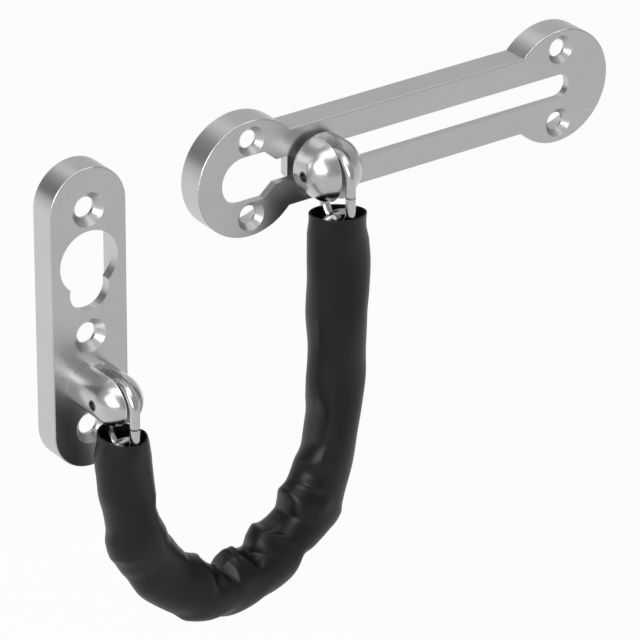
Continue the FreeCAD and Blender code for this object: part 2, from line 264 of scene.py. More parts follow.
def steel_shader(bench, marks, roughness, swing, depth, wear, tone=1.0, painted_bright=None, shadow=None):
    """Metal whose roughness is the middle one plus the marks' distance from 0.5 times the swing, and
    whose tone lies up to the wear below or above its own. Depth is the bump's, in millimetres. A tone
    below 1 paints the whole colour darker, as painted shade. Of the two masks, where the first is 1 the
    steel is painted bright and a little rougher, as a painted highlight, and where the shadow mask is 1
    it is painted dark, as painted shade."""
    colour = [c * tone for c in STEEL]
    bright = bench.blend(
        (marks - 0.5) * TONE_CONTRAST + 0.5,
        (*[c * (1 - wear) for c in colour], 1),
        (*[min(c * (1 + wear), 1) for c in colour], 1),
    )
    # Painted light and shade: the masks blend the colour towards the bright and the dark colour.
    if painted_bright:
        bright = bench.blend(painted_bright, bright, PAINTED_BRIGHT)
        roughness = painted_bright * PAINTED_BRIGHT_ROUGHENS + roughness
    if shadow:
        bright = bench.blend(shadow, bright, SHADED)
    bump = {"Strength": BUMP_STRENGTH, "Distance": depth * MM, "Height": marks}
    return bench.add("ShaderNodeBsdfPrincipled", None, {
        "Base Color": bright,
        "Metallic": 1.0,
        "Roughness": roughness + (marks - 0.5) * swing,
        "Normal": bench.add("ShaderNodeBump", None, bump),
    })


# %% [markdown]
# ## The brushed plates
#
# Both plates are stainless steel, brushed along their length. Noise that is stretched along the grain
# gives the scratches: it varies every fifth of a millimetre across the grain and only every few
# millimetres along it. A coarser grain and a soft cloud lie under it. Along the long top edge of each
# front a thin highlight is painted into the colour.

# %% Brushed steel
BRUSHED = {"roughness": 0.34, "swing": 0.14, "depth": 0.012, "wear": 0.11}
# Width in millimetres of the highlight that is painted along the top edge of each front.
EDGE_HIGHLIGHT = 0.3
PLATE_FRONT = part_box("door_plate")[0][1] / MM


def plate_steel(name, along, top):
    """Brushed steel for a plate. Along is 0 for a grain that runs along X and 2 for one along Z. A
    highlight is painted along the edge at the height top: the product of a rise in height and one towards
    the front."""
    bench = Bench(bpy.data.materials.new(name))
    x, y, z = bench.place()
    lengthwise, across = (x, z) if along == 0 else (z, x)
    fine = bench.noise(bench.point(lengthwise * 0.22, across * 5.0, y * 5.0), 1.0, 3.0, 0.6)
    coarse = bench.noise(bench.point(lengthwise * 0.08, across * 1.3, y * 1.3), 1.0)
    cloud = bench.noise(bench.point(x, y, z), 0.09)
    marks = fine * 0.4 + coarse * 0.25 + cloud * 0.35
    # Painted highlight: a thin band along the front's top edge.
    high = z.step(top - EDGE_HIGHLIGHT, top - EDGE_HIGHLIGHT / 2)
    front = y.step(PLATE_FRONT + EDGE_HIGHLIGHT, PLATE_FRONT + EDGE_HIGHLIGHT / 2)
    return bench.finish(steel_shader(bench, marks, **BRUSHED, painted_bright=high * front))


# %% [markdown]
# ## The turned post and slider
#
# The post and the slider's head come off a lathe, so their marks are rings about a line along Y: noise of
# the distance from that line. A slot is milled through each for the chain's end link, and a pin crosses
# the slot. The slot's faces are painted brighter and a little duller, and a dark disc of painted shade
# lies around the mouth of the pin's hole.

# %% Turned steel
TURNED = {"roughness": 0.25, "swing": 0.08, "depth": 0.010, "wear": 0.09}
# Sizes in millimetres: the disc of painted shade about the pin, its soft edge and how far from the middle
# it starts, then the half width of the slot that is painted brighter and its soft edge.
PIN_MOUTH = 1.3
PIN_MOUTH_EDGE = 0.15
MOUTH_FROM, MOUTH_FULLY_FROM = 5.0, 5.5
SLOT_HALF = 1.66
SLOT_EDGE = 0.1


def from_line(first, second, first_centre, second_centre):
    """Distance from a line, by Pythagoras from the two coordinates across it."""
    return ((first - first_centre) ** 2 + (second - second_centre) ** 2) ** 0.5


def turned_steel(name, centre, pin):
    """Steel turned about the line along Y through the centre, with a pin along X. The painted shade at
    the pin's mouth is a disc about the pin, far enough from the middle, and the slot, whose faces are
    painted brighter, is near the middle."""
    bench = Bench(bpy.data.materials.new(name))
    x, y, z = bench.place()
    radius = from_line(x, z, centre[0] / MM, centre[2] / MM)
    rings = bench.noise(bench.point(radius * 5.0, y * 5.0, 0.0), 1.0, 3.0, 0.6)
    cloud = bench.noise(bench.point(x, y, z), 0.35)
    aside = (x - centre[0] / MM).math("ABSOLUTE")
    # Painted shade: a dark disc about the pin, on the outer sides of the head.
    mouth = from_line(y, z, pin[1] / MM, pin[2] / MM).step(PIN_MOUTH + PIN_MOUTH_EDGE, PIN_MOUTH)
    mouth = mouth * aside.step(MOUTH_FROM, MOUTH_FULLY_FROM)
    # The slot's faces are painted brighter.
    slot = aside.step(SLOT_HALF + SLOT_EDGE, SLOT_HALF)
    marks = rings * 0.5 + cloud * 0.5
    return bench.finish(steel_shader(bench, marks, **TURNED, painted_bright=slot, shadow=mouth))


# %% [markdown]
# ## Wire, pins and foot
#
# Drawn wire is the smoothest steel here. It only has small marks in every direction, and the pins and
# the foot have the same finish, only duller. The pins' colour is also painted darker, as painted shade
# for the holes they sit in.

# %% Drawn steel
DRAWN = {"swing": 0.12, "depth": 0.010, "wear": 0.08}


def wire_steel(name, roughness, tone=1.0):
    """Drawn steel: its marks are noise of the place itself, the same in every direction. A tone below 1
    paints its colour darker, as painted shade.
    """
    bench = Bench(bpy.data.materials.new(name))
    marks = bench.noise(bench.point(*bench.place()), 1.8, 3.0, 0.6)
    return bench.finish(steel_shader(bench, marks, roughness, **DRAWN, tone=tone))


# %% Dress the steel pieces
def dress(node, material):
    """Puts one material on all of a CAD node's slots."""
    mesh = nodes[node].data
    mesh.materials.clear()
    mesh.materials.append(material)


def middle(node):
    """The middle of a CAD node's box."""
    low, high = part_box(node)
    return np.array((low + high) / 2)


links = sorted(name for name in nodes if name.startswith("link_"))
dress("door_plate", plate_steel("door_plate_steel", 0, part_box("door_plate")[1][2] / MM))
dress("frame_plate", plate_steel("frame_plate_steel", 2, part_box("frame_plate")[1][2] / MM))
dress("frame_post", turned_steel("post_steel", middle("frame_post"), middle("post_pin")))
dress("slider_head", turned_steel("slider_steel", middle("slider_head"), middle("slider_pin")))
dress("slider_foot", wire_steel("foot_steel", 0.3))
# Painted shade: the pins' colour is halved, for the shade of the holes they sit in.
dress("post_pin", wire_steel("post_pin_steel", 0.35, 0.5))
dress("slider_pin", wire_steel("slider_pin_steel", 0.35, 0.5))
wire = wire_steel("link_steel", 0.22)
for name in links:
    dress(name, wire)
print("dressed", len(nodes) - 1, "steel pieces")

# %% [markdown]
# ## The line of the sleeve
#
# The sleeve hangs where the chain hangs. The chain's joints say where its links meet, and the links'
# boxes say where their middles are. A smooth curve through those points is the sleeve's middle line. It
# is a clamped cubic spline: each stretch is a cubic, and the slope and the bend agree where two meet.

# %% Chain points
CHAIN_LINKS = len(links)
LAST_LEFT_LINK = 5
LOW_LIP = 5.0 * MM
HIGH_LIP = 2.9 * MM
hinges = {joint["child"]: np.array(joint["pos_m"]) for joint in frame["joints"] if joint["type"] == "hinge"}


def link_name(index):
    """The name of a link, counted from 1 at the post."""
    return "link_%02d" % index


def far_hinge(index):
    """The end of a link away from its own hinge: as far past the middle as the hinge is before it."""
    return 2 * middle(link_name(index)) - hinges[link_name(index)]


def meeting(index):
    """Where a link meets the next one: at the hinge between them, or halfway between their ends where the
    chain's two halves meet."""
    if index < LAST_LEFT_LINK:
        return hinges[link_name(index + 1)]
    if index > LAST_LEFT_LINK:
        return hinges[link_name(index)]
    return (far_hinge(index) + far_hinge(index + 1)) / 2


def chain_points():
    """The points the sleeve's line runs through, from the post's lip to the slider's lip. At a meeting
    of two links the line cuts the corner by half."""
    depth = [middle(name)[1] for name in links]
    low, high = meeting(1), meeting(CHAIN_LINKS - 1)
    points = [
        (low[0], depth[0], low[2] + LOW_LIP),
        (low[0], (depth[0] + depth[1]) / 2, low[2]),
    ]
    for index in range(2, CHAIN_LINKS):
        here = middle(link_name(index))
        points.append(tuple(here))
        if index < CHAIN_LINKS - 1:
            ahead = middle(link_name(index + 1))
            points.append(tuple((meeting(index) + (here + ahead) / 2) / 2))
    points.append((high[0], (depth[-2] + depth[-1]) / 2, high[2]))
    points.append((high[0], depth[-1], high[2] + HIGH_LIP))
    return np.array(points)


# %% A smooth curve through points
def cubic(t, gap, start, start_slope, end, end_slope):
    """One stretch of a curve, as t runs from 0 to 1 over the gap: the cubic in t that has the places and
    slopes given at its two ends."""
    return (
        (2 * t**3 - 3 * t**2 + 1) * start + (t**3 - 2 * t**2 + t) * gap * start_slope
        + (3 * t**2 - 2 * t**3) * end + (t**3 - t**2) * gap * end_slope
    )


def clamped_spline(points, first, last, count):
    """A cubic spline through points, with unit slopes first and last at its ends, as count points.
    The slopes at the points come from one set of equations, which make the bend the same on both sides
    of each point."""
    gaps = np.linalg.norm(np.diff(points, axis=0), axis=1)
    knots = np.concatenate([[0], np.cumsum(gaps)])
    size = len(points)
    left, right = np.eye(size), np.zeros((size, 3))
    right[0], right[-1] = first, last
    chords = np.diff(points, axis=0) / gaps[:, None]
    for i in range(1, size - 1):
        left[i, i - 1 : i + 2] = gaps[i], 2 * (gaps[i - 1] + gaps[i]), gaps[i - 1]
        right[i] = 3 * (gaps[i] * chords[i - 1] + gaps[i - 1] * chords[i])
    slopes = np.linalg.solve(left, right)
    where = np.linspace(0, knots[-1], count)
    span = np.clip(np.searchsorted(knots, where, side="right") - 1, 0, size - 2)
    share = ((where - knots[span]) / gaps[span])[:, None]
    gap = gaps[span][:, None]
    return cubic(share, gap, points[span], slopes[span], points[span + 1], slopes[span + 1])


# %% The sleeve's line
LINE_POINTS = 4001
DOWN, UP = (0, 0, -1), (0, 0, 1)


class Line:
    """A curve that can be asked for its place and direction at a distance from its start."""

    def __init__(self, points):
        self.points = points
        self.travel = np.concatenate([[0], np.cumsum(np.linalg.norm(np.diff(points, axis=0), axis=1))])
        self.length = self.travel[-1]
        slopes = np.gradient(points, self.travel, axis=0)
        self.slopes = slopes / np.linalg.norm(slopes, axis=1)[:, None]

    def at(self, distance):
        """Places and unit directions at an array of distances. Past its ends the line runs on straight."""
        place = np.stack([np.interp(distance, self.travel, self.points[:, k]) for k in range(3)], 1)
        slope = np.stack([np.interp(distance, self.travel, self.slopes[:, k]) for k in range(3)], 1)
        slope /= np.linalg.norm(slope, axis=1)[:, None]
        beyond = distance - np.clip(distance, 0, self.length)
        return place + beyond[:, None] * slope, slope

    def nearest(self, point):
        """The distance along the line of its point nearest to the given one."""
        return self.travel[np.argmin(np.linalg.norm(self.points - np.asarray(point), axis=1))]


sleeve_line = Line(clamped_spline(chain_points(), DOWN, UP, LINE_POINTS))
link_places = np.array([sleeve_line.nearest(middle(name)) for name in links]) / MM
link_places[0] = 2 * link_places[1] - link_places[2]
link_places[-1] = 2 * link_places[-2] - link_places[-3]
print("sleeve line is", round(sleeve_line.length / MM, 1), "mm long")

# %% [markdown]
# ## The shape of the sleeve
#
# The sleeve is a soft plastic tube, a little too wide for the chain. Where a link stands upright its two
# wires stretch the tube towards the front and the wall, and where the next one lies in the chain's plane
# they stretch it sideways, so the section is an ellipse whose long side changes from link to link. In the
# bend the inside is too long for its path and buckles into folds, and the outside is stretched over the
# links into straight facets.
#
# The inner and the outer edge are therefore two profiles: a reach in millimetres at chosen distances from
# the post. A curve runs through each profile without overshooting, so a fold stays as sharp as it is
# given. The folds reach round towards the front, and lean a little as they go.

# %% Edges of the sleeve
# Each knot is a distance from the post's lip and the reach there, both in millimetres.
INNER_EDGE = (
    (0.0, 5.20), (3.0, 6.31), (8.0, 7.06), (13.5, 6.89), (18.5, 6.54), (22.5, 5.44), (25.0, 5.47),
    (28.0, 5.89), (30.3, 6.21), (33.0, 6.20), (36.5, 6.75), (40.0, 6.95), (44.0, 7.00), (46.0, 6.80),
    (49.0, 7.10), (52.0, 7.40), (54.5, 6.40), (57.5, 5.40), (60.0, 5.19), (60.8, 5.61), (62.5, 8.38),
    (65.5, 9.55), (69.5, 9.58), (72.5, 7.60), (75.0, 6.54), (76.8, 7.72), (78.5, 8.60), (82.0, 9.29),
    (84.0, 7.20), (87.0, 5.80), (89.8, 5.36), (92.5, 6.89), (96.0, 8.70), (98.0, 8.00), (100.3, 7.40),
    (102.5, 7.30), (106.0, 7.05), (112.0, 5.11), (119.0, 5.15), (125.0, 6.76), (130.0, 7.33), (138.0, 7.16),
    (147.0, 7.70), (155.0, 7.60), (162.0, 7.85), (167.5, 7.75), (172.0, 6.80),
)
OUTER_EDGE = (
    (0.0, 5.50), (5.0, 6.75), (9.0, 6.87), (14.0, 7.11), (19.0, 6.72), (23.0, 7.08), (27.0, 8.58),
    (30.5, 8.91), (33.0, 8.32), (35.5, 8.06), (38.0, 7.65), (40.5, 7.84), (43.0, 8.05), (48.0, 7.85),
    (52.0, 8.07), (56.5, 9.25), (59.0, 8.96), (62.0, 6.94), (65.5, 7.63), (68.5, 7.42), (71.0, 6.95),
    (74.5, 7.70), (77.5, 8.15), (82.0, 5.55), (86.0, 7.18), (89.0, 8.15), (92.0, 9.30), (94.0, 10.30),
    (95.5, 10.50), (97.5, 9.42), (100.5, 8.60), (105.0, 8.16), (115.0, 7.15), (121.0, 7.54), (128.0, 8.19),
    (136.0, 7.56), (144.0, 7.37), (151.0, 8.07), (158.0, 8.68), (163.0, 8.25), (168.0, 7.06), (172.0, 7.30),
)


def profile(distance, knots):
    """A smooth curve through knots. Each stretch is a cubic whose slope at a knot is the harmonic mean of
    the two chords beside it, and 0 where the curve turns, so that it never overshoots."""
    place, value = np.array(knots).T
    chord = np.diff(value) / np.diff(place)
    turn = chord[:-1] * chord[1:] <= 0
    both = np.where(turn, 1.0, chord[:-1] + chord[1:])
    inner = np.where(turn, 0.0, 2 * chord[:-1] * chord[1:] / both)
    slope = np.concatenate([[chord[0]], inner, [chord[-1]]])
    span = np.clip(np.searchsorted(place, distance, side="right") - 1, 0, len(place) - 2)
    gap = place[span + 1] - place[span]
    t = np.clip((distance - place[span]) / gap, 0, 1)
    return cubic(t, gap, value[span], slope[span], value[span + 1], slope[span + 1])


# %% How the folds lean
# Millimetres along the sleeve for each millimetre towards the wall, at distances from the post's lip.
SIDE_LEAN = (
    (-6.0, 0.42), (30.0, 0.42), (45.0, 0.9), (60.0, 0.52), (75.0, 0.25), (88.0, 0.0), (105.0, -0.42),
    (180.0, -0.42),
)
# And on the front, where the folds swing back: millimetres for each unit of the angle's sine.
FRONT_LEAN = ((-6.0, 0.0), (40.0, 0.0), (52.0, 6.0), (80.0, 6.0), (95.0, 0.0), (180.0, 0.0))
FRONT_START = 0.25
ACROSS_MEAN = 6.65


def fold_lean(distance, side):
    """How far a fold has moved along the sleeve at a side, which runs from -1 at the front to 1 at the
    wall: the two leans times the way round to that side."""
    towards_wall = np.maximum(side, -FRONT_START) * ACROSS_MEAN * profile(distance, SIDE_LEAN)
    return towards_wall + np.maximum(-side - FRONT_START, 0) * profile(distance, FRONT_LEAN)


# %% Puckers and creases
# Each pucker: distance, angle, height, then its width along the sleeve and round it. The angle is in
# degrees from the inside of the bend, and below 0 on the front. A dent's height is below 0.
PUCKERS = (
    (50.0, -45.0, 0.7, 5.0, 28.0),
    (57.6, -55.0, -1.0, 1.7, 24.0),
    (68.0, -54.0, 0.7, 6.5, 30.0),
    (74.2, -44.0, -0.7, 1.5, 14.0),
    (78.5, -30.0, 0.5, 3.0, 20.0),
    (82.5, -42.0, -0.5, 2.0, 18.0),
    (90.0, -78.0, -0.2, 4.0, 22.0),
    (93.0, -38.0, 0.8, 4.5, 28.0),
    (97.0, -86.0, 0.5, 2.5, 20.0),
    (101.0, -46.0, 0.6, 1.2, 30.0),
    (104.5, -46.0, -0.4, 2.0, 30.0),
    (111.0, -34.0, 0.4, 8.0, 20.0),
)

# Each long crease: two ends as distance and angle, height, width round the sleeve in degrees.
CREASES = (
    ((-8.0, -114.0), (36.0, -114.0), 0.6, 26.0),
    ((182.0, -40.0), (138.0, -18.0), 0.6, 24.0),
    ((150.0, -66.0), (102.0, -46.0), 0.5, 24.0),
)
CREASE_FADE = 0.2


def angle_between(angle, centre):
    """The angle from the centre, brought to between half a turn back and half a turn on."""
    return np.arctan2(np.sin(angle - centre), np.cos(angle - centre))


def crease_height(distance, angle):
    """Ridges along the tube, in millimetres. Each is a sharp peak, which falls off exponentially with the
    angle from its middle. The middle's angle runs evenly between the ridge's ends, where it fades."""
    total = np.zeros(np.broadcast(distance, angle).shape)
    for (first, angle_first), (last, angle_last), height, width in CREASES:
        share = (distance - first) / (last - first)
        centre = np.radians(angle_first + (angle_last - angle_first) * share)
        off = np.abs(angle_between(angle, centre))
        fade = np.clip(np.minimum(share, 1 - share) / CREASE_FADE, 0, 1)
        total += height * fade * np.exp(-off / np.radians(width))
    return total


def pucker_height(distance, angle):
    """Soft dents and swellings, in millimetres: each is a bell, the exponential of minus the squares of
    the distance and the angle from its middle, both as shares of its widths."""
    total = np.zeros(np.broadcast(distance, angle).shape)
    for place, centre, height, along, around in PUCKERS:
        off = angle_between(angle, np.radians(centre))
        total += height * np.exp(-(((distance - place) / along) ** 2) - (off / np.radians(around)) ** 2)
    return total


# %% Section of the sleeve
ACROSS_SWING = 0.55


def ellipse(c, s, along_bend, across):
    """Reach of an ellipse in the direction whose cosine and sine are c and s: one over the root of the
    sum of their squares, each as a share of its half width."""
    return ((c / along_bend) ** 2 + (s / across) ** 2) ** -0.5


def link_beat(distance):
    """Runs from 1 at the middle of an upright link to -1 at the middle of the next one: a cosine whose
    phase is read from the links' places along the sleeve."""
    return np.cos(np.pi * (np.interp(distance, link_places, np.arange(1, CHAIN_LINKS + 1)) - 1))


def sleeve_reach(distance, angle):
    """How far the outside of the sleeve lies from its line, in metres: an ellipse between the inner or
    outer edge and the width across, with the creases and puckers added. Distance is along the line in
    millimetres, and angle turns from the inside of the bend, 0, towards the wall."""
    c, s = np.cos(angle), np.sin(angle)
    leant = distance - fold_lean(distance, s)
    edge = np.where(c > 0, profile(leant, INNER_EDGE), profile(leant, OUTER_EDGE))
    reach = ellipse(c, s, edge, ACROSS_MEAN + ACROSS_SWING * link_beat(distance))
    return (reach + crease_height(distance, angle) + pucker_height(distance, angle)) * MM


# %% Where the rings lie
# All in millimetres: where the seam lies, and how far it and the lips pull the rings along.
SEAM = 60.3
SEAM_REACH = 8.0
LIP_REACH = 14.0
# Each lip: how far its raised side stands above its middle, and the angle of that side in degrees.
POST_TILT = (0.3, -126.0)
SLIDER_TILT = (1.0, -54.0)
LIP_WAVE = 0.12
INTO_WALL = np.array([0.0, 1.0, 0.0])


def ease(share):
    """A rise from 0 to 1 that starts and ends level: 3t^2 - 2t^3."""
    t = np.clip(share, 0, 1)
    return t * t * (3 - 2 * t)


def tilt(angle, rise, centre):
    """A slanting cut, one cosine round the sleeve, with a little wave along it, three of them."""
    raised = np.radians(centre)
    return rise * np.cos(angle - raised) + LIP_WAVE * np.cos(3 * angle - raised)


def ring_distance(distance, angle):
    """How far along the line a ring lies at an angle, in millimetres. Rings are square to the line, but
    the ring at the seam follows the deepest fold, those at the lips follow the slanting cuts, and the
    rings beside these ease back to square."""
    at_seam = ease(1 - np.abs(distance - SEAM) / SEAM_REACH) * fold_lean(SEAM, np.sin(angle))
    at_slider = ease(1 - (sleeve_line.length / MM - distance) / LIP_REACH) * tilt(angle, *SLIDER_TILT)
    at_post = ease(1 - distance / LIP_REACH) * tilt(angle, *POST_TILT)
    return distance + at_seam + at_slider - at_post



def sleeve_surface(distance, angle, depth):
    """Points of the sleeve. Distance, angle and depth under the outside are arrays of one shape: the
    line's place, plus the reach less the depth, along the direction that the angle gives."""
    distance = ring_distance(distance / MM, angle) * MM
    place, along = sleeve_line.at(distance.ravel())
    inward = np.cross(along, INTO_WALL)
    inward /= np.linalg.norm(inward, axis=1)[:, None]
    across = np.cross(inward, along)
    reach = sleeve_reach(distance / MM, angle).ravel() - depth.ravel()
    turn = angle.ravel()
    out = np.cos(turn)[:, None] * inward + np.sin(turn)[:, None] * across
    return (place + reach[:, None] * out).reshape(*distance.shape, 3)


# %% [markdown]
# ## Cutting the sleeve into pieces
#
# When the slider moves, each link turns on the next, and the sleeve has to bend with them. One piece can
# bend between two links only. The sleeve is made of short tubes, each from the middle of one link to the
# middle of the next, though nothing here makes a tube bend. Their edges meet in the same ring of points
# with the same normals, so the seams don't show. The two halves of the chain meet at the lowest point, and
# there the end of one half is tucked in and slips into the other.

# %% Rings of a tube
SLEEVE_WALL = 0.45 * MM
RING_POINTS = 144
ROW_STEP = 0.45 * MM
FEWEST_STEPS = 4
LIP_ROWS = 6


def tube_rows(start, end, round_start, round_end):
    """The rings of one closed tube as distances and depths, and the number of steps from end to end: out
    along the outside, over the end, back along the inside and over the start. A rounded end goes over
    in half a circle of the wall's thickness."""
    steps = max(int(round((end - start) / ROW_STEP)), FEWEST_STEPS)
    out = np.linspace(start, end, steps + 1)
    half = SLEEVE_WALL / 2
    turn = np.linspace(0, np.pi, LIP_ROWS + 2)[1:-1]
    rows = [(d, 0.0) for d in out]
    if round_end:
        rows += [(end + half * np.sin(a), half - half * np.cos(a)) for a in turn]
    rows += [(d, SLEEVE_WALL) for d in out[::-1]]
    if round_start:
        rows += [(start - half * np.sin(a), half + half * np.cos(a)) for a in turn]
    return np.array(rows), steps


def tube_grid(rows):
    """The distance, angle and depth of each point of a tube, with one row of the grid for each ring."""
    shape = (len(rows), RING_POINTS)
    angle = np.linspace(0, 2 * np.pi, RING_POINTS, endpoint=False)
    return [np.broadcast_to(part, shape) for part in (rows[:, :1], angle, rows[:, 1:])]


def tube_quads(rings):
    """The point numbers of each quad's corners, wound to face outwards. A quad joins a point and its
    neighbour on the ring to the same two on the next ring, and the last ring is followed by the first."""
    here = np.arange(rings)[:, None] * RING_POINTS + np.arange(RING_POINTS)
    ahead = np.roll(here, -1, axis=0)
    return np.stack([ahead, np.roll(ahead, -1, axis=1), np.roll(here, -1, axis=1), here], axis=2)


# %% Normals of a tube
NORMAL_STEP = ROW_STEP / 4
NORMAL_TURN = 1e-3


def unit(vectors):
    """The same directions, each with length 1."""
    return vectors / np.linalg.norm(vectors, axis=-1)[..., None]


def sleeve_normals(distance, angle, depth):
    """Normals of the sleeve's surface: the cross product of a small step along it and a small step
    round it, each from just before the point to just after it."""
    ahead = sleeve_surface(distance + NORMAL_STEP, angle, depth)
    ahead -= sleeve_surface(distance - NORMAL_STEP, angle, depth)
    around = sleeve_surface(distance, angle + NORMAL_TURN, depth)
    around -= sleeve_surface(distance, angle - NORMAL_TURN, depth)
    return unit(np.cross(ahead, around))


def lip_normals(points, lip, outside, inside):
    """Normals over the rings of a rounded lip: away from the middle between the rings that it joins."""
    return unit(points[lip] - (points[outside] + points[inside]) / 2)


def flat_normals(points, quads):
    """Normals of flat quads: the cross product of their diagonals."""
    corner = points.reshape(-1, 3)[quads]
    return unit(np.cross(corner[:, 2] - corner[:, 0], corner[:, 3] - corner[:, 1]))


# %% One tube
# How far the tucked end steps in, and over how many millimetres of the sleeve.
TUCK = 0.55 * MM
TUCK_RAMP = 0.9


def tube_object(name, points, quads, corners):
    """A smooth object from a grid of points, its quads, and the normals at the quads' corners."""
    mesh = bpy.data.meshes.new(name)
    mesh.from_pydata(points.reshape(-1, 3).tolist(), [], quads.reshape(-1, 4).tolist())
    mesh.polygons.foreach_set("use_smooth", np.ones(len(mesh.polygons), bool))
    mesh.normals_split_custom_set(corners.reshape(-1, 3).tolist())
    mesh.update()
    tube = bpy.data.objects.new(name, mesh)
    bpy.context.scene.collection.objects.link(tube)
    return tube


def closed_tube(name, start, end, round_start=False, round_end=False, tucked=False):
    """One tube of the sleeve between two distances along its line, as a closed mesh whose outside and
    inside carry the normals of the whole sleeve. A tucked tube steps inwards at the seam."""
    rows, steps = tube_rows(start, end, round_start, round_end)
    if tucked:
        rows[:, 1] += TUCK * ease((rows[:, 0] / MM - SEAM) / TUCK_RAMP)
    grid = tube_grid(rows)
    points, normals = sleeve_surface(*grid), sleeve_normals(*grid)

    first_inside = steps + 1 + (LIP_ROWS if round_end else 0)
    last_inside = first_inside + steps
    normals[first_inside : last_inside + 1] *= -1
    if round_end:
        lip = slice(steps + 1, first_inside)
        normals[lip] = lip_normals(points, lip, steps, first_inside)
    if round_start:
        lip = slice(last_inside + 1, len(rows))
        normals[lip] = lip_normals(points, lip, last_inside, 0)

    quads = tube_quads(len(rows))
    corners = normals.reshape(-1, 3)[quads]
    for ring, rounded in ((steps, round_end), (last_inside, round_start)):
        if not rounded:
            corners[ring] = flat_normals(points, quads[ring])[:, None]
    return tube_object(name, points, quads, corners)


# %% [markdown]
# ## The sleeve's black plastic
#
# The tube is soft black plastic with a satin skin. Its colour is almost black, so nearly all that is
# seen of it is the sheen: broad, soft reflections that follow the folds. A cloud of slightly duller and
# paler places, and a fine grain with a faint bump, keep that sheen from looking like glass.

# %% Sleeve material
DEEP_BLACK = (0.0030, 0.0029, 0.0028, 1)
WORN_BLACK = (0.0055, 0.0051, 0.0047, 1)
SLEEVE_ROUGHNESS = 0.40
SLEEVE_IOR = 1.38


def sleeve_plastic(name):
    """Black plastic. The cloud, with waves of 8 mm, changes its tone and its roughness, and the grain,
    with waves of half a millimetre, its roughness and the bump."""
    bench = Bench(bpy.data.materials.new(name))
    point = bench.point(*bench.place())
    cloud = bench.noise(point, 0.12, 3.0, 0.55)
    grain = bench.noise(point, 2.2, 3.0, 0.6)
    bump = {"Strength": 0.15, "Distance": 0.03 * MM, "Height": grain}
    return bench.finish(bench.add("ShaderNodeBsdfPrincipled", None, {
        "Base Color": bench.blend(cloud, DEEP_BLACK, WORN_BLACK),
        "Roughness": SLEEVE_ROUGHNESS + (cloud - 0.5) * 0.2 + (grain - 0.5) * 0.08,
        "Normal": bench.add("ShaderNodeBump", None, bump),
        "IOR": SLEEVE_IOR,
    }))


sleeve_black = sleeve_plastic("sleeve_black")

# %% Sleeve pieces
# How far from the links' middles the unused points of bend_tube lie, and how far the two halves lap.
BEND_MARGIN = 2.6 * MM
LAP = 8.0 * MM


def link_place(index):
    """The distance along the sleeve of a link's middle. The first and last links' middles lie beyond the
    lips, so for them it is the lip."""
    return sleeve_line.nearest(middle(link_name(index)))


def bend_tube(tube, first, second):
    """Works out points near the middles of two links, which nothing uses, and bakes the tube's place into
    its mesh.
    """
    start, end = (sleeve_line.at(np.array([link_place(i)]))[0][0] for i in (first, second))
    margin = unit(end - start) * BEND_MARGIN
    tuple(start + margin)
    tuple(end - margin)
    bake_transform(tube)


def bending_tube(index, **rounded):
    """The tube from a link to the next one. The first and last tubes run to the sleeve's lips."""
    start = 0.0 if index == 1 else link_place(index)
    end = sleeve_line.length if index == CHAIN_LINKS - 1 else link_place(index + 1)
    tube = closed_tube("sleeve_%02d" % index, start, end, **rounded)
    bend_tube(tube, index, index + 1)
    return tube


def sleeve_pieces():
    """All tubes of the sleeve, from the post to the slider."""
    made = [bending_tube(index, round_start=index == 1) for index in range(1, LAST_LEFT_LINK)]
    left, right = LAST_LEFT_LINK, LAST_LEFT_LINK + 1
    tucked_end = SEAM * MM + LAP
    inner = closed_tube("sleeve_inner_end", link_place(left), tucked_end, round_end=True, tucked=True)
    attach(inner, link_name(left))
    outer = closed_tube("sleeve_outer_end", SEAM * MM, link_place(right))
    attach(outer, link_name(right))
    made += [inner, outer]
    made += [bending_tube(index, round_end=index == CHAIN_LINKS - 1) for index in range(right, CHAIN_LINKS)]
    for tube in made:
        tube.data.materials.append(sleeve_black)
        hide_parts("sleeve")
    return made


sleeve = sleeve_pieces()
print("sleeve has", len(sleeve), "tubes and", sum(len(t.data.polygons) for t in sleeve), "faces")

# %% [markdown]
# ## The studio
#
# Metal shows what is around it, so the surroundings matter more than lamps. They are drawn on the sky, as
# patches between directions: a grey room that is lighter at the back, a bright ceiling, and a tall window
# on the left. Behind on the left is a dark doorway with a thin bright line at its foot, and straight
# behind, high up, a bright beam. Only reflections see them. To the camera the sky and the floor are
# white, and everything else gets an even fill.

# %% Patches between directions
# The window's corners as azimuth and elevation in degrees, clockwise as the object sees it.
WINDOW = ((-92.0, 21.0), (-77.0, 59.0), (-36.0, 10.0), (-70.0, 3.0))
WINDOW_EDGE = 1.5


def sky_angles(bench):
    """Azimuth and elevation of a direction in degrees: the arctangent of x over -y, and the arcsine of z.
    Azimuth 0 is in front and -90 on the left."""
    x, y, z = bench.split(bench.add("ShaderNodeTexCoord", output="Generated"))
    to_degrees = math.degrees(1)
    return x.math("ARCTAN2", y * -1) * to_degrees, z.math("ARCSINE") * to_degrees


def inside(azimuth, elevation, corners):
    """1 within a polygon of directions: the product, over its sides, of a step in the distance to the
    right of the line through each two corners."""
    mask = None
    for (a, b), (c, d) in zip(corners, corners[1:] + corners[:1]):
        length = math.hypot(c - a, d - b)
        right = ((azimuth - a) * (d - b) - (elevation - b) * (c - a)) / length
        edge = right.step(-WINDOW_EDGE, WINDOW_EDGE)
        mask = mask * edge if mask else edge
    return mask


def between(value, start, low, high, end):
    """1 from low to high, with soft sides that reach 0 at start and end."""
    return value.step(start, low) * value.step(end, high)


def towards(level, mask, goal):
    """The level, moved to the goal where the mask is 1: level plus mask times what is missing."""
    return level + (level * -1 + goal) * mask


